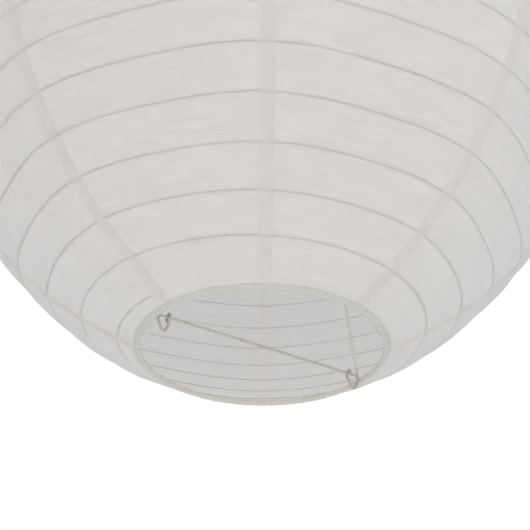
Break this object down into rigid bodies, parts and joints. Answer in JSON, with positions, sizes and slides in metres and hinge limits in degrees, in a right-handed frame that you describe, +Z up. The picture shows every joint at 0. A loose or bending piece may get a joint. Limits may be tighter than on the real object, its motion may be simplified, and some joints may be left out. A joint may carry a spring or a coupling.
{
  "type": "paper lantern",
  "caption": "Round folding paper lantern on a spiral wire rib, with hemmed mouths at top and bottom and a hooked wire expander inside that hangs from a loop.",
  "frame": {"origin": "where a ceiling hook bears on the hanging loop, on the lantern's axis", "axes": "+Z up along the lantern's axis, +X along the expander's two bars"},
  "size_m": [0.4, 0.4, 0.4153],
  "materials": {
    "paper": "thin white fibrous paper, matt, with faint horizontal fibres and crinkles",
    "hem": "white paper strip, folded and glued",
    "frame_wire": "zinc-plated round wire, dull grey",
    "ring_wire": "zinc-plated round wire, dull grey",
    "rib_wire": "thin white-coated wire"
  },
  "bodies": {
    "expander": {"bottom_crossbar": "frame_wire", "left_leg": "frame_wire", "right_leg": "frame_wire", "top_bar": "frame_wire"},
    "shade_top": {"top_ring": "ring_wire", "top_hem": "hem", "spiral_rib": "rib_wire", "paper_gore_1": "paper", "paper_gore_2": "paper", "paper_gore_3": "paper", "paper_gore_4": "paper", "paper_gore_5": "paper", "paper_gore_6": "paper", "paper_gore_7": "paper", "paper_gore_8": "paper"},
    "shade_bottom": {"bottom_ring": "ring_wire", "bottom_hem": "hem"}
  },
  "joints": [
    {"name": "shade_turn", "type": "hinge", "parent": "expander", "child": "shade_top", "pos_m": [0, 0, 0], "axis": [0, 0, 1], "continuous": true},
    {"name": "shade_fold", "type": "slide", "parent": "shade_top", "child": "shade_bottom", "axis": [0, 0, 1], "range_m": [0, 0.345], "deforming": ["paper_gore_1", "paper_gore_2", "paper_gore_3", "paper_gore_4", "paper_gore_5", "paper_gore_6", "paper_gore_7", "paper_gore_8", "spiral_rib"]}
  ]
}
